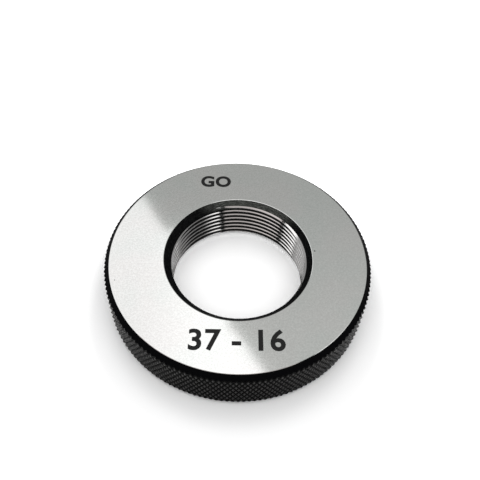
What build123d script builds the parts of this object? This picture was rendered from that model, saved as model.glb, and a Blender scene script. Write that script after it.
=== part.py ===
"""Thread ring gauge: one hardened steel ring that screws onto a 37 mm conduit thread.

The ring lies on its back face at Z = 0, with its axis on +Z, and the crests of its thread are the bore.
All sizes are in millimetres and degrees.
"""

from math import ceil, cos, pi, radians, sin, tan
import os

from build123d import *

# The blank
OUTER_DIAMETER = 71.0
THICKNESS = 14.0
RIM_CHAMFER = 1.6

# The bore, with a chamfer at each mouth
THREAD_MINOR_DIAMETER = 35.5
BORE_CHAMFER_DIAMETER = 39.4

# The diamond knurl on the rim: two sets of V grooves that lean to either side of the axis
KNURL_PITCH = 1.2
KNURL_ANGLE = 30.0
KNURL_DEPTH = 0.45

# How far a cut runs past the metal that it takes away
OVERRUN = 1.0

# A whole number of teeth goes round the rim, and the grooves cross in level rows
RIM_LENGTH = pi * OUTER_DIAMETER
TEETH = round(RIM_LENGTH * cos(radians(KNURL_ANGLE)) / KNURL_PITCH)
ROW_HEIGHT = RIM_LENGTH / TEETH / tan(radians(KNURL_ANGLE)) / 2


def rim_point(radius, tooth, height):
    """A point at this radius and height, this many teeth round from +X."""
    angle = 2 * pi * tooth / TEETH
    return Vector(radius * cos(angle), radius * sin(angle), height)


def flat(*corners):
    return Face(Wire.make_polygon(corners))


def fan(centre, around):
    return [flat(centre, first, second) for first, second in zip(around, around[1:])]


def knurled_bar():
    """Bar stock a little longer than the ring, covered all round with four-sided pyramids.

    One pyramid stands between every four crossings of the grooves. Its tip is on the outer diameter and
    its corners are at the bottom of the grooves. Each row is turned half a tooth from the row below.
    """
    tip_radius = OUTER_DIAMETER / 2
    root_radius = tip_radius - KNURL_DEPTH
    last_row = ceil(THICKNESS / 2 / ROW_HEIGHT)

    def row_point(radius, tooth, row):
        return rim_point(radius, tooth + row % 2 / 2, THICKNESS / 2 + ROW_HEIGHT * row)

    def crossings(tooth, row):
        """The corners to the left and right of a pyramid in this row."""
        return row_point(root_radius, tooth, row), row_point(root_radius, tooth + 1, row)

    faces = []
    for row in range(-last_row, last_row + 1):
        for tooth in range(TEETH):
            left, right = crossings(tooth, row)
            below = row_point(root_radius, tooth + row % 2, row - 1)
            above = row_point(root_radius, tooth + row % 2, row + 1)
            tip = row_point(tip_radius, tooth + 0.5, row)
            faces += fan(tip, [left, below, right, above, left])
    for row, end in ((-last_row, -last_row - 1), (last_row, last_row + 1)):
        hub = Vector(0, 0, THICKNESS / 2 + ROW_HEIGHT * end)
        for tooth in range(TEETH):
            left, right = crossings(tooth, row)
            faces += fan(hub, [left, row_point(root_radius, tooth + row % 2, end), right])
    return Solid(Shell(faces))


def facing_cut():
    """What comes off the bar below the back face and at its 45 degree rim chamfer.

    The chamfer is cut in flats, one to a tooth, whose edges run up the middle of the teeth.
    """
    chamfer_start = OUTER_DIAMETER / 2 - RIM_CHAMFER
    past_rim = OUTER_DIAMETER / 2 + OVERRUN
    rings = [
        [rim_point(radius, tooth, height) for tooth in range(TEETH)]
        for radius, height in (
            (chamfer_start, 0),
            (past_rim, past_rim - chamfer_start),
            (past_rim, -THICKNESS / 2),
        )
    ]
    faces = [flat(*rings[0]), flat(*rings[-1])]
    for one, other in zip(rings, rings[1:]):
        for tooth in range(TEETH):
            faces.append(flat(one[tooth - 1], one[tooth], other[tooth], other[tooth - 1]))
    return Solid(Shell(faces))


def bore_cut():
    """What is bored out up to the crests of the thread, and at the 45 degree chamfers of the mouths."""
    bore = THREAD_MINOR_DIAMETER / 2
    past_mouth = BORE_CHAMFER_DIAMETER / 2 + OVERRUN
    chamfer_end = BORE_CHAMFER_DIAMETER / 2 - bore
    section = Polyline(
        (0, -OVERRUN),
        (past_mouth, -OVERRUN),
        (bore, chamfer_end),
        (bore, THICKNESS - chamfer_end),
        (past_mouth, THICKNESS + OVERRUN),
        (0, THICKNESS + OVERRUN),
        close=True,
    )
    return revolve(Plane.XZ * make_face(section), axis=Axis.Z)


def make_gauge_ring():
    back = facing_cut()
    front = back.mirror(Plane.XY.offset(THICKNESS / 2))
    return knurled_bar() - back - front - bore_cut()


gauge_ring = make_gauge_ring()

os.makedirs("parts", exist_ok=True)
export_step(gauge_ring, "parts/gauge_ring.step", write_pcurves=False)
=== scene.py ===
"""Looks of the thread ring gauge: its knurl, thread, etched marks and finishes, on a white studio floor.

Lengths in the constants and in the functions that build meshes are in millimetres. The finished meshes
are scaled to metres, like everything else here.
"""

from math import cos, pi, radians, sin, tan

import bmesh
import bpy
from mathutils import Matrix, Quaternion, Vector


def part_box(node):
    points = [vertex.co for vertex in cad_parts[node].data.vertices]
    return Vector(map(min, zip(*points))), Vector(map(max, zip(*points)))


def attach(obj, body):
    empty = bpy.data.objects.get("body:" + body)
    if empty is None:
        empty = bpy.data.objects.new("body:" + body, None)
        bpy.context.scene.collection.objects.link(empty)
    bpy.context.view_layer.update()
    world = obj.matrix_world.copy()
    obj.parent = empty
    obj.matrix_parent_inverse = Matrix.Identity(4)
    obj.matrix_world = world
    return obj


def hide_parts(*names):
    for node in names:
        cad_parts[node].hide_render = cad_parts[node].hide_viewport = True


MM = 0.001

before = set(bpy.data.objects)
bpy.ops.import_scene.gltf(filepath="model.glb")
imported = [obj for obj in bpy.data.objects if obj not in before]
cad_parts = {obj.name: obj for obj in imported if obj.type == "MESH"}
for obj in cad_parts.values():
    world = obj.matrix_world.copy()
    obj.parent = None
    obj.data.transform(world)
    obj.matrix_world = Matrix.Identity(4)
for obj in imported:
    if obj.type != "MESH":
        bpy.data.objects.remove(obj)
bpy.context.view_layer.update()
ring_low, ring_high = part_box("gauge_ring")
OUTER_RADIUS = (ring_high.x - ring_low.x) / 2 / MM
THICKNESS = (ring_high.z - ring_low.z) / MM

# The blank, and how far a cut runs past the metal that it takes away
RIM_CHAMFER = 1.6
BORE_CHAMFER_RADIUS = 19.7
EDGE_BREAK = 0.09
OVERRUN = 1.0

# The diamond knurl
KNURL_TEETH = 161
KNURL_ANGLE = 30.0
KNURL_DEPTH = 0.45

# The right-hand thread. On the +X side its groove is deepest at THREAD_START
THREAD_MAJOR_RADIUS = 18.5
THREAD_MINOR_RADIUS = 17.75
THREAD_PITCH = 25.4 / 16
THREAD_ANGLE = 80.0
THREAD_START = 1.2

# How finely round forms are made, and how many turns the thread runs on past either face
BLANK_SEGMENTS = 4 * KNURL_TEETH
THREAD_SEGMENTS = 240
LETTER_SEGMENTS = 4
EXTRA_TURNS = 3

# The marks: their depth, how high a figure is as a share of its font size, how far letters are spread,
# and for each mark its name, text, height, how much bolder it is and its centre on the front face
ETCH_DEPTH = 0.03
FIGURE_HEIGHT_SHARE = 0.73
LETTER_SPREAD = 1.06
MARKS = [
    ("go_mark", "GO", 4.0, 0.22, (-6.5, 26.3)),
    ("size_mark", "37 - 16", 5.7, 0.20, (-0.4, -25.2)),
]

# How the pattern of the grinding lines is stretched, so that they run along X
GRINDING_STRETCH = (0.12, 3.2, 1.0)

# How far down the knurl's tips are rubbed, as a share of its depth, and down to where fully
RUBBED_SHARE = 0.8
RUBBED_FULLY = 0.05

# The black on the thread's crests, a painted dark reflection: how far up the flanks it reaches at most, how
# far from the X axis it begins and reaches that far, how much its edge wavers and how soft its edge is
CREST_PAINTED_REFLECTION_REACH = 0.40
CREST_PAINTED_REFLECTION_FROM = (5.0, 14.5)
CREST_PAINTED_REFLECTION_WAVER = 0.10
CREST_PAINTED_REFLECTION_SOFTNESS = 0.10

# Two small dark specks on the front face: places and radii
SPECKS = [((20.43, 2.08), 0.30), ((-31.66, -8.16), 0.18)]

# The grey turning streaks on the bore's chamfer, faint all round and lighter at the back as a painted sheen:
# the radii between which they fade in at its inner and at its outer end, how far back the sheen begins and
# is full, and its turn towards the right in degrees
STREAKS_INNER = (17.8, 18.2)
STREAKS_OUTER = (21.0, 20.5)
SHEEN_BACK = (13.0, 17.5)
SHEEN_TURN = 10.0

# How a face's finish is told: the upright part of its normal from which it is a level face or a chamfer
# of the rim, and how far its middle may lie off the chamfer that it belongs to
LEVEL_TILT = 0.9
CHAMFER_TILT = 0.69
ZONE_SLACK = 0.02

# How corners are merged and shaded
MERGE_DISTANCE = 0.0001
SHARP_ANGLE = 10.0
FLAT_ZONES = ("ground", "etched")

# The camera
IMAGE_PIXELS = 480
FOCAL_PIXELS = 633.49
SENSOR_WIDTH = 36.0
NEAREST_SEEN = 5.0
CAMERA_PLACE = (-3.254, -98.188, 149.931)
CAMERA_TARGET = (0.639, 10.70, 7.0)
CAMERA_ROLL = -2.57

# The light from all round on the object, and the lamps: name, place, size and power
AMBIENT = 0.113
LAMPS = [
    ("wide_box", (0, 0, 700), 1200, 7.03),
    ("front_box", (0, -250, 500), 500, 1.09),
]

# The floor's colour and half its width
FLOOR_COLOUR = (0.86, 0.86, 0.86, 1)
FLOOR_HALF_WIDTH = 1500

# How much lighter the eye sees the floor than its lamps make it: what is added between two distances, from
# the axis in the bore and from another centre outside the ring, and the radius that parts the two
BORE_LIFTS = [(20, 18.8, 0.30), (18.6, 17, -0.18)]
OUTSIDE_CENTRE = (0, -8, 0)
OUTSIDE_LIFTS = [(30, 36, 0.088), (34, 40, 0.013), (38, 44, 0.144), (42, 50, 0.525), (50, 80, 1.0)]
FLOOR_SPLIT_RADIUS = 26

# A grey wall all round, far away, that only mirror reflections see
WALL_RADIUS = 700
WALL_HEIGHT = 330
WALL_STEPS = 48
WALL_STRENGTH = 0.33

# Colours of the reflector cards
PLAIN, HAND, COOL = (1.0, 1.0, 1.0), (1.0, 0.94, 0.925), (0.98, 1.0, 0.98)

# Strips of card above the ring, which the flanks of the thread reflect: name, left, right and back end,
# colour, and two places between left and right with their strengths
STRIP_HEIGHT, STRIP_FRONT = 250, -300
STRIPS = [
    ("left_grey_strip", -900, -380, 700, PLAIN, (-900, 0.42), (-380, 0.42)),
    ("left_white_strip", -380, -268, 120, PLAIN, (-380, 1.4), (-268, 1.4)),
    ("left_dark_strip", -268, -240, 60, PLAIN, (-268, 0.01), (-240, 0.01)),
    ("hand_strip", -240, 90, 20, HAND, (-200, 0.85), (20, 0.55)),
    ("right_dark_strip", 90, 118, 20, PLAIN, (90, 0.01), (118, 0.01)),
    ("right_white_strip", 118, 260, 60, PLAIN, (140, 1.35), (230, 0.2)),
    ("right_grey_strip", 260, 900, 700, PLAIN, (290, 0.2), (360, 0.26)),
]

# Two large cards higher up, which the front face reflects: name, height, corners, colour, the axis along
# which the strength changes, and two places on it with their strengths
CARDS = [
    (
        "white_card",
        400,
        [
            (-700, 560), (-260, 560), (-160, 430), (-110, 366), (-92, 355), (-80, 332), (-67, 311),
            (-40, 308), (-5, 280), (6, 235), (-1, 199), (7, 191), (17, 178), (25, 163), (31, 155), (60, 90),
            (108, -80), (-700, -80),
        ],
        PLAIN,
        "x",
        (-100, 1.30),
        (0, 1.60),
    ),
    (
        "grey_card",
        401,
        [(-700, -80), (700, -80), (700, 900), (-700, 900)],
        COOL,
        "y",
        (150, 0.68),
        (400, 0.53),
    ),
]


def mesh_object(name, vertices, faces):
    mesh = bpy.data.meshes.new(name)
    mesh.from_pydata([tuple(v) for v in vertices], [], faces)
    work = bmesh.new()
    work.from_mesh(mesh)
    bmesh.ops.recalc_face_normals(work, faces=work.faces)
    work.to_mesh(mesh)
    work.free()
    made = bpy.data.objects.new(name, mesh)
    bpy.context.scene.collection.objects.link(made)
    return made


def combine(target, tool, operation):
    """target becomes the intersection with tool, or its difference, and tool is deleted."""
    modifier = target.modifiers.new("cut", "BOOLEAN")
    modifier.operation = operation
    modifier.solver = "EXACT"
    modifier.object = tool
    graph = bpy.context.evaluated_depsgraph_get()
    result = bpy.data.meshes.new_from_object(target.evaluated_get(graph))
    target.modifiers.clear()
    target.data = result
    bpy.data.objects.remove(tool)


def ring_point(radius, angle, height):
    return Vector((radius * cos(angle), radius * sin(angle), height))


def knurled_bar():
    """A bar covered with four-sided pyramids, one between every four crossings of the knurl's grooves."""
    tooth_angle = 2 * pi / KNURL_TEETH
    row_height = OUTER_RADIUS * tooth_angle / tan(radians(KNURL_ANGLE)) / 2
    root_radius = OUTER_RADIUS - KNURL_DEPTH
    last_row = int(THICKNESS / 2 / row_height) + 2
    vertices, faces, index = [], [], {}

    def point(radius, tooth, row):
        tooth %= KNURL_TEETH
        key = (radius, tooth, row)
        if key not in index:
            index[key] = len(vertices)
            angle = tooth_angle * (tooth + row % 2 / 2)
            vertices.append(ring_point(radius, angle, THICKNESS / 2 + row_height * row))
        return index[key]

    for row in range(-last_row, last_row + 1):
        for tooth in range(KNURL_TEETH):
            left = point(root_radius, tooth, row)
            right = point(root_radius, tooth + 1, row)
            below = point(root_radius, tooth + row % 2, row - 1)
            above = point(root_radius, tooth + row % 2, row + 1)
            tip = point(OUTER_RADIUS, tooth + 0.5, row)
            for one, two in ((left, below), (below, right), (right, above), (above, left)):
                faces.append((tip, one, two))
    for row, end in ((-last_row, -last_row - 1), (last_row, last_row + 1)):
        hub = len(vertices)
        vertices.append(Vector((0, 0, THICKNESS / 2 + row_height * end)))
        for tooth in range(KNURL_TEETH):
            left = point(root_radius, tooth, row)
            right = point(root_radius, tooth + 1, row)
            outer = point(root_radius, tooth + row % 2, end)
            faces += [(hub, left, outer), (hub, outer, right)]
    return mesh_object("knurled_bar", vertices, faces)


def turned(name, section, segments):
    """A closed section of (radius, height) pairs, clear of the axis, turned all the way round."""
    vertices, faces = [], []
    count = len(section)
    for step in range(segments):
        angle = 2 * pi * step / segments
        vertices += [ring_point(radius, angle, height) for radius, height in section]
        here, there = step * count, (step + 1) % segments * count
        for at in range(count):
            after = (at + 1) % count
            faces.append((here + at, there + at, there + after, here + after))
    return mesh_object(name, vertices, faces)


def blank():
    """The ring as turned, with its chamfers, its broken edges and a bore too small for the thread."""
    rough_bore = THREAD_MINOR_RADIUS - 2 * OVERRUN
    outside = OUTER_RADIUS + OVERRUN
    rim = OUTER_RADIUS - RIM_CHAMFER
    half = [
        (rough_bore, BORE_CHAMFER_RADIUS - rough_bore),
        (BORE_CHAMFER_RADIUS - EDGE_BREAK / 3, EDGE_BREAK / 3),
        (BORE_CHAMFER_RADIUS + EDGE_BREAK, 0),
        (rim - EDGE_BREAK, 0),
        (rim + EDGE_BREAK / 3, EDGE_BREAK / 3),
        (outside, outside - rim),
    ]
    section = half + [(radius, THICKNESS - height) for radius, height in reversed(half)]
    return turned("blank", section, BLANK_SEGMENTS)


def threaded_core():
    """Everything inside the thread: a screw whose crests fill the thread's grooves."""
    half_width = (THREAD_MAJOR_RADIUS - THREAD_MINOR_RADIUS) * tan(radians(THREAD_ANGLE / 2))
    profile = [
        (THREAD_MINOR_RADIUS, -half_width),
        (THREAD_MAJOR_RADIUS, 0),
        (THREAD_MINOR_RADIUS, half_width),
    ]
    turns = range(-EXTRA_TURNS, int(THICKNESS / THREAD_PITCH) + EXTRA_TURNS)
    column = [
        (radius, THREAD_START + height + turn * THREAD_PITCH) for turn in turns for radius, height in profile
    ]
    tall, around = len(column), THREAD_SEGMENTS
    vertices, faces = [], []
    for step in range(around):
        angle = 2 * pi * step / around
        rise = THREAD_PITCH * step / around
        vertices += [ring_point(radius, angle, height + rise) for radius, height in column]
        for at in range(tall - 1):
            here = step * tall + at
            there = here + tall
            if step == around - 1:
                if at + 1 + len(profile) >= tall:
                    continue
                there = at + len(profile)
            faces.append((here, there, there + 1, here + 1))
    core = mesh_object("threaded_core", vertices, faces)
    work = bmesh.new()
    work.from_mesh(core.data)
    reach = 2 * EXTRA_TURNS * THREAD_PITCH
    for height, side in ((-reach, -1), (THICKNESS + reach, 1)):
        hub = work.verts.new((0, 0, height))
        for edge in [e for e in work.edges if e.is_boundary]:
            if (edge.verts[0].co.z + edge.verts[1].co.z - THICKNESS) * side > 0:
                work.faces.new((edge.verts[0], edge.verts[1], hub))
    bmesh.ops.recalc_face_normals(work, faces=work.faces)
    work.to_mesh(core.data)
    work.free()
    return core


def merge_corners(made):
    """Closes the hair cracks that cutting leaves between equal corners."""
    work = bmesh.new()
    work.from_mesh(made.data)
    bmesh.ops.remove_doubles(work, verts=work.verts, dist=MERGE_DISTANCE)
    work.to_mesh(made.data)
    work.free()


def mark_tool(name, text, height, bold, centre):
    """The letters or figures as solid plates that reach from above the front face into it."""
    curve = bpy.data.curves.new(name, "FONT")
    curve.body = text
    curve.align_x = curve.align_y = "CENTER"
    curve.size = height / FIGURE_HEIGHT_SHARE
    curve.extrude = ETCH_DEPTH * 2
    curve.offset = bold
    curve.resolution_u = LETTER_SEGMENTS
    curve.space_character = LETTER_SPREAD
    text_object = bpy.data.objects.new(name, curve)
    bpy.context.scene.collection.objects.link(text_object)
    graph = bpy.context.evaluated_depsgraph_get()
    mesh = bpy.data.meshes.new_from_object(text_object.evaluated_get(graph))
    bpy.data.objects.remove(text_object)
    mesh.transform(Matrix.Translation((*centre, THICKNESS + ETCH_DEPTH)))
    plate = bpy.data.objects.new(name, mesh)
    bpy.context.scene.collection.objects.link(plate)
    merge_corners(plate)
    return plate


def zone_of(face):
    """Which finish a face has, from where it lies and how it tilts."""
    centre, tilt = face.calc_center_median(), abs(face.normal.z)
    radius = (centre.x**2 + centre.y**2) ** 0.5
    depth = min(centre.z, THICKNESS - centre.z)
    if radius > OUTER_RADIUS - KNURL_DEPTH - RIM_CHAMFER and tilt < LEVEL_TILT:
        if depth < EDGE_BREAK / 2 and tilt < CHAMFER_TILT:
            return "ground"
        off_chamfer = abs(radius - (OUTER_RADIUS - RIM_CHAMFER + depth))
        return "turned" if off_chamfer < ZONE_SLACK and tilt > CHAMFER_TILT else "knurl"
    if tilt > LEVEL_TILT:
        return "etched" if depth > ETCH_DEPTH / 2 else "ground"
    if depth < EDGE_BREAK / 2:
        return "ground" if radius > BORE_CHAMFER_RADIUS - EDGE_BREAK and depth < EDGE_BREAK / 3 else "turned"
    off_chamfer = abs(radius - (BORE_CHAMFER_RADIUS - depth))
    if off_chamfer < ZONE_SLACK and abs(tilt - cos(radians(45))) < ZONE_SLACK:
        return "turned"
    return "thread"


def make_ring():
    ring = knurled_bar()
    combine(ring, blank(), "INTERSECT")
    combine(ring, threaded_core(), "DIFFERENCE")
    for mark in MARKS:
        combine(ring, mark_tool(*mark), "DIFFERENCE")
    merge_corners(ring)
    ring.name = ring.data.name = "ring_body"
    return ring


def dress(ring, finishes):
    names = list(finishes)
    for name in names:
        ring.data.materials.append(finishes[name])
    work = bmesh.new()
    work.from_mesh(ring.data)
    for face in work.faces:
        zone = zone_of(face)
        face.material_index = names.index(zone)
        face.smooth = zone not in FLAT_ZONES
    work.to_mesh(ring.data)
    work.free()
    ring.data.set_sharp_from_angle(angle=radians(SHARP_ANGLE))
    ring.data.transform(Matrix.Scale(MM, 4))


class Nodes:
    """A material's node tree, with short calls to add a node and to join sockets."""

    def __init__(self, name):
        self.material = bpy.data.materials.new(name)
        self.material.use_nodes = True
        self.tree = self.material.node_tree
        self.tree.nodes.clear()

    def add(self, kind, settings=None, **inputs):
        node = self.tree.nodes.new(kind)
        for key, value in (settings or {}).items():
            setattr(node, key, value)
        for key, value in inputs.items():
            self.put(node, key.replace("_", " "), value)
        return node

    def put(self, node, key, value):
        socket = node.inputs[int(key)] if key.isdigit() else node.inputs[key]
        if isinstance(value, bpy.types.NodeSocket):
            self.tree.links.new(value, socket)
        else:
            socket.default_value = value

    def math(self, operation, first, second=0.0):
        node = self.add("ShaderNodeMath", {"operation": operation})
        self.put(node, "0", first)
        self.put(node, "1", second)
        return node.outputs[0]

    def ramp(self, value, start, end):
        """0 where value is start, 1 where it is end, smooth between."""
        node = self.add("ShaderNodeMapRange", {"interpolation_type": "SMOOTHSTEP", "clamp": True})
        self.put(node, "Value", value)
        self.put(node, "From Min", start)
        self.put(node, "From Max", end)
        return node.outputs["Result"]

    def mix(self, share, first, second):
        node = self.add("ShaderNodeMix", {"data_type": "RGBA"})
        self.put(node, "0", share)
        self.put(node, "6", first)
        self.put(node, "7", second)
        return node.outputs[2]

    def noise(self, vector, scale, detail, roughness):
        node = self.add(
            "ShaderNodeTexNoise", Vector=vector, Scale=scale, Detail=detail, Roughness=roughness
        )
        return node.outputs["Fac"]

    def place(self):
        """The point in the ring's own frame in millimetres: its vector, radius, height and angle."""
        here = self.add("ShaderNodeTexCoord").outputs["Object"]
        scaled = self.add("ShaderNodeVectorMath", {"operation": "SCALE"})
        self.put(scaled, "0", here)
        self.put(scaled, "Scale", 1 / MM)
        point = scaled.outputs[0]
        split = self.add("ShaderNodeSeparateXYZ", Vector=point)
        x, y, z = split.outputs[0], split.outputs[1], split.outputs[2]
        square = self.math("ADD", self.math("MULTIPLY", x, x), self.math("MULTIPLY", y, y))
        radius = self.math("SQRT", square)
        angle = self.math("ARCTAN2", y, x)
        return point, radius, z, angle

    def vector(self, x, y, z):
        node = self.add("ShaderNodeCombineXYZ")
        for key, value in zip("012", (x, y, z)):
            self.put(node, key, value)
        return node.outputs[0]

    def distance(self, first, second):
        node = self.add("ShaderNodeVectorMath", {"operation": "DISTANCE"})
        self.put(node, "0", first)
        self.put(node, "1", second)
        return node.outputs["Value"]

    def bump(self, height, strength, distance):
        node = self.add("ShaderNodeBump", Strength=strength, Distance=distance, Height=height)
        return node.outputs["Normal"]

    def finish(self, **inputs):
        shader = self.add("ShaderNodeBsdfPrincipled")
        for key, value in inputs.items():
            self.put(shader, key.replace("_", " "), value)
        output = self.add("ShaderNodeOutputMaterial")
        self.tree.links.new(shader.outputs[0], output.inputs[0])
        return self.material


def ground_steel():
    """The end faces: bright steel, surface ground and lapped to a fine grain."""
    n = Nodes("ground_steel")
    point = n.place()[0]
    grain = n.noise(point, 2.2, 4.0, 0.7)
    stretched = n.add("ShaderNodeVectorMath", {"operation": "MULTIPLY"})
    n.put(stretched, "0", point)
    n.put(stretched, "1", GRINDING_STRETCH)
    lines = n.noise(stretched.outputs[0], 2.0, 3.0, 0.6)
    cloud = n.noise(point, 0.07, 2.0, 0.5)
    tone = n.mix(n.ramp(cloud, 0.35, 0.65), (0.60, 0.615, 0.60, 1), (0.63, 0.62, 0.61, 1))
    tone = n.mix(n.math("MULTIPLY", n.ramp(grain, 0.35, 0.7), 0.55), tone, (0.80, 0.80, 0.79, 1))
    tone = n.mix(n.math("MULTIPLY", n.ramp(lines, 0.3, 0.7), 0.10), tone, (0.45, 0.45, 0.45, 1))
    spotted = 0.0
    for place, size in SPECKS:
        spot = n.ramp(n.distance(point, (*place, THICKNESS)), size, size / 2)
        spotted = n.math("ADD", spot, spotted)
    tone = n.mix(spotted, tone, (0.02, 0.02, 0.02, 1))
    metal = n.math("SUBTRACT", 1.0, spotted)
    rough = n.math("ADD", n.math("MULTIPLY", grain, 0.04), 0.06)
    height_map = n.math("ADD", grain, n.math("MULTIPLY", lines, 0.6))
    normal = n.bump(height_map, 0.3, 0.000003)
    return n.finish(Base_Color=tone, Metallic=metal, Roughness=rough, Normal=normal)


def turned_oxide():
    """The chamfers: matt black, with faint grey streaks from the lathe tool, lighter at the back of the bore
    as a painted sheen.
    """
    n = Nodes("turned_oxide")
    point, radius, _, angle = n.place()
    along = n.vector(n.math("MULTIPLY", radius, 6.0), n.math("MULTIPLY", angle, 13.0), 0.0)
    streaks = n.noise(along, 1.0, 4.0, 0.7)
    grains = n.noise(point, 4.5, 3.0, 0.7)
    rough_turned = n.math("MULTIPLY", n.ramp(streaks, 0.38, 0.68), n.ramp(grains, 0.30, 0.62))
    # Painted sheen: the streaks are lighter at the back of the bore, where the chamfer faces the light
    back = n.math("MULTIPLY", radius, n.math("SINE", n.math("ADD", angle, radians(SHEEN_TURN))))
    in_mouth = n.math("MULTIPLY", n.ramp(radius, *STREAKS_OUTER), n.ramp(radius, *STREAKS_INNER))
    streaks_and_sheen = n.ramp(back, *SHEEN_BACK)
    streaks_and_sheen = n.math("MULTIPLY", streaks_and_sheen, n.math("ADD", n.math("MULTIPLY", rough_turned, 0.80), 0.20))
    streaks_and_sheen = n.math("ADD", streaks_and_sheen, n.math("MULTIPLY", rough_turned, 0.10))
    share = n.math("MULTIPLY", streaks_and_sheen, in_mouth)
    tone = n.mix(grains, (0.0010, 0.0010, 0.0012, 1), (0.0035, 0.0035, 0.0040, 1))
    tone = n.mix(share, tone, (0.115, 0.12, 0.11, 1))
    normal = n.bump(streaks, 0.5, 0.00002)
    return n.finish(Base_Color=tone, Metallic=0.0, Roughness=0.5, Specular_IOR_Level=0.005, Normal=normal)


def knurl_oxide():
    """The knurl: blackened in its grooves and rubbed to dark grey at its tips."""
    n = Nodes("knurl_oxide")
    point, radius = n.place()[:2]
    tips = n.ramp(radius, OUTER_RADIUS - KNURL_DEPTH * RUBBED_SHARE, OUTER_RADIUS - RUBBED_FULLY)
    specks = n.noise(point, 1.4, 3.0, 0.6)
    rubbed = n.math("MULTIPLY", tips, n.ramp(specks, 0.15, 0.6))
    tone = n.mix(rubbed, (0.002, 0.002, 0.002, 1), (0.06, 0.059, 0.058, 1))
    shine = n.math("ADD", 0.01, n.math("MULTIPLY", tips, 0.08))
    rough = n.math("SUBTRACT", 0.30, n.math("MULTIPLY", rubbed, 0.06))
    normal = n.bump(specks, 0.3, 0.00002)
    return n.finish(
        Base_Color=tone, Metallic=0.0, Roughness=rough, Specular_IOR_Level=shine, Normal=normal
    )


def lapped_thread():
    """The thread: flanks lapped bright, and black painted on the crests as a dark reflection, less of it to
    either side.
    """
    n = Nodes("lapped_thread")
    _, radius, height, angle = n.place()
    turn = n.math("MULTIPLY", angle, THREAD_PITCH / (2 * pi))
    climb = n.math("SUBTRACT", height, turn)
    along = n.vector(
        n.math("MULTIPLY", climb, 9.0), n.math("MULTIPLY", angle, 2.5), n.math("MULTIPLY", radius, 6.0)
    )
    laps = n.noise(along, 1.0, 3.0, 0.6)
    # Painted dark reflection: the crests are coloured black, most at the back and front of the bore and less
    # to either side
    edge = n.math("ADD", radius, n.math("MULTIPLY", n.math("SUBTRACT", laps, 0.5), CREST_PAINTED_REFLECTION_WAVER))
    across = n.math("ABSOLUTE", n.math("MULTIPLY", radius, n.math("SINE", angle)))
    reach = n.math("MULTIPLY", n.ramp(across, *CREST_PAINTED_REFLECTION_FROM), CREST_PAINTED_REFLECTION_REACH)
    past_black = n.math("SUBTRACT", edge, n.math("ADD", reach, THREAD_MINOR_RADIUS))
    black = n.ramp(past_black, 0.0, -CREST_PAINTED_REFLECTION_SOFTNESS)
    bright = n.mix(laps, (0.66, 0.65, 0.64, 1), (0.78, 0.77, 0.76, 1))
    tone = n.mix(black, bright, (0.006, 0.006, 0.006, 1))
    rough = n.math("ADD", 0.07, n.math("MULTIPLY", black, 0.20))
    metal = n.math("SUBTRACT", 1.0, black)
    normal = n.bump(laps, 0.3, 0.00001)
    return n.finish(
        Base_Color=tone, Metallic=metal, Roughness=rough, Specular_IOR_Level=0.03, Normal=normal
    )


def etched_black():
    n = Nodes("etched_black")
    point = n.place()[0]
    grain = n.noise(point, 6.0, 2.0, 0.6)
    tone = n.mix(grain, (0.006, 0.006, 0.006, 1), (0.018, 0.018, 0.018, 1))
    return n.finish(Base_Color=tone, Metallic=0.0, Roughness=0.6, Specular_IOR_Level=0.1)


def glow(name, colour, axis, first, second):
    """Plain light whose strength changes smoothly along one axis, between two places in millimetres."""
    n = Nodes(name)
    point = n.place()[0]
    split = n.add("ShaderNodeSeparateXYZ", Vector=point)
    share = n.ramp(split.outputs["XYZ".index(axis.upper())], first[0], second[0])
    strength = n.math("ADD", first[1], n.math("MULTIPLY", share, second[1] - first[1]))
    light = n.add("ShaderNodeEmission", Color=(*colour, 1), Strength=strength)
    output = n.add("ShaderNodeOutputMaterial")
    n.tree.links.new(light.outputs[0], output.inputs[0])
    return n.material


def show_in_reflections_only(made):
    made.visible_camera = made.visible_diffuse = made.visible_shadow = False
    made.visible_transmission = False


def card(name, height, corners, colour, axis, first, second):
    """A flat reflector card, sizes in millimetres."""
    made = mesh_object(name, [Vector((x, y, height)) * MM for x, y in corners], [tuple(range(len(corners)))])
    made.data.materials.append(glow(name, colour, axis, first, second))
    show_in_reflections_only(made)


def make_wall():
    vertices, faces = [], []
    for step in range(WALL_STEPS):
        angle = 2 * pi * step / WALL_STEPS
        vertices += [ring_point(WALL_RADIUS, angle, height) * MM for height in (-1, WALL_HEIGHT)]
        here, there = 2 * step, 2 * ((step + 1) % WALL_STEPS)
        faces.append((here, there, there + 1, here + 1))
    made = mesh_object("grey_wall", vertices, faces)
    made.data.materials.append(glow("grey_wall", PLAIN, "x", (0, WALL_STRENGTH), (1, WALL_STRENGTH)))
    show_in_reflections_only(made)


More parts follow.
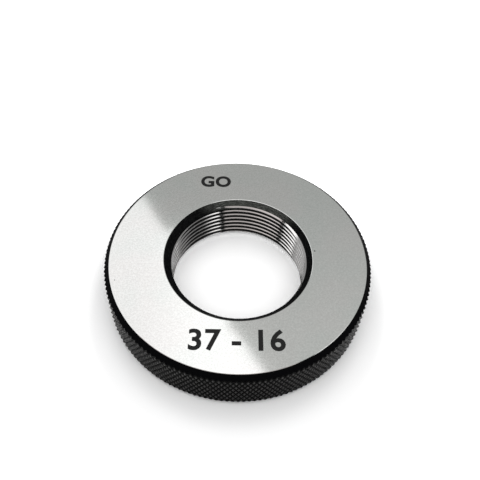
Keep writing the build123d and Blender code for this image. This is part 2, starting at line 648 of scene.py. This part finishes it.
def floor_material():
    n = Nodes("floor_white")
    point, radius = n.place()[:2]
    in_bore, outside = 0.0, 0.0
    for start, end, more in BORE_LIFTS:
        in_bore = n.math("ADD", n.math("MULTIPLY", n.ramp(radius, start, end), more), in_bore)
    away = n.distance(point, OUTSIDE_CENTRE)
    for start, end, more in OUTSIDE_LIFTS:
        outside = n.math("ADD", n.math("MULTIPLY", n.ramp(away, start, end), more), outside)
    is_outside = n.math("GREATER_THAN", radius, FLOOR_SPLIT_RADIUS)
    lift = n.math("ADD", in_bore, n.math("MULTIPLY", outside, is_outside))
    diffuse = n.add("ShaderNodeBsdfDiffuse", Color=FLOOR_COLOUR)
    lifted = n.add("ShaderNodeEmission", Color=(1, 1, 1, 1), Strength=lift)
    both = n.add("ShaderNodeAddShader")
    n.tree.links.new(diffuse.outputs[0], both.inputs[0])
    n.tree.links.new(lifted.outputs[0], both.inputs[1])
    path = n.add("ShaderNodeLightPath")
    seen = n.math("MAXIMUM", path.outputs["Is Camera Ray"], path.outputs["Is Glossy Ray"])
    mixed = n.add("ShaderNodeMixShader")
    n.put(mixed, "0", seen)
    n.tree.links.new(diffuse.outputs[0], mixed.inputs[1])
    n.tree.links.new(both.outputs[0], mixed.inputs[2])
    output = n.add("ShaderNodeOutputMaterial")
    n.tree.links.new(mixed.outputs[0], output.inputs[0])
    return n.material


def make_floor():
    half = FLOOR_HALF_WIDTH * MM
    corners = [(-half, -half, 0), (half, -half, 0), (half, half, 0), (-half, half, 0)]
    floor = mesh_object("floor", corners, [(0, 1, 2, 3)])
    floor.data.materials.append(floor_material())


def make_world():
    """White to the eye and in mirror reflections, softer as a light on the object."""
    world = bpy.data.worlds.new("studio")
    bpy.context.scene.world = world
    world.use_nodes = True
    tree = world.node_tree
    background = tree.nodes["Background"]
    path = tree.nodes.new("ShaderNodeLightPath")
    seen = tree.nodes.new("ShaderNodeMath")
    seen.operation = "MAXIMUM"
    tree.links.new(path.outputs["Is Camera Ray"], seen.inputs[0])
    tree.links.new(path.outputs["Is Glossy Ray"], seen.inputs[1])
    either = tree.nodes.new("ShaderNodeMath")
    either.operation = "MAXIMUM"
    tree.links.new(seen.outputs[0], either.inputs[0])
    tree.links.new(path.outputs["Is Transmission Ray"], either.inputs[1])
    strength = tree.nodes.new("ShaderNodeMapRange")
    strength.inputs["To Min"].default_value = AMBIENT
    strength.inputs["To Max"].default_value = 1.0
    tree.links.new(either.outputs[0], strength.inputs["Value"])
    tree.links.new(strength.outputs["Result"], background.inputs["Strength"])
    background.inputs["Color"].default_value = (1, 1, 1, 1)


def lamp(name, place, size, power):
    """A square soft box at a place in millimetres that faces the ring."""
    data = bpy.data.lights.new(name, "AREA")
    data.size = size * MM
    data.energy = power
    made = bpy.data.objects.new(name, data)
    made.location = Vector(place) * MM
    made.rotation_mode = "QUATERNION"
    made.rotation_quaternion = (-made.location).to_track_quat("-Z", "Y")
    made.visible_glossy = False
    bpy.context.scene.collection.objects.link(made)


def make_camera():
    data = bpy.data.cameras.new("camera")
    data.sensor_width = SENSOR_WIDTH
    data.lens = data.sensor_width * FOCAL_PIXELS / IMAGE_PIXELS
    data.clip_start = NEAREST_SEEN * MM
    made = bpy.data.objects.new("camera", data)
    made.location = Vector(CAMERA_PLACE) * MM
    look = Vector(CAMERA_TARGET) - Vector(CAMERA_PLACE)
    made.rotation_mode = "QUATERNION"
    made.rotation_quaternion = Quaternion(look, radians(CAMERA_ROLL)) @ look.to_track_quat("-Z", "Y")
    bpy.context.scene.collection.objects.link(made)
    bpy.context.scene.camera = made


finishes = {
    "ground": ground_steel(),
    "turned": turned_oxide(),
    "knurl": knurl_oxide(),
    "thread": lapped_thread(),
    "etched": etched_black(),
}
ring = make_ring()
dress(ring, finishes)
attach(ring, "root")
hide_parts("gauge_ring")

make_floor()
make_world()
for settings in LAMPS:
    lamp(*settings)
for name, left, right, back, colour, first, second in STRIPS:
    corners = [(left, STRIP_FRONT), (right, STRIP_FRONT), (right, back), (left, back)]
    card(name, STRIP_HEIGHT, corners, colour, "x", first, second)
for settings in CARDS:
    card(*settings)
make_wall()
make_camera()
bpy.context.scene.view_settings.view_transform = "Standard"
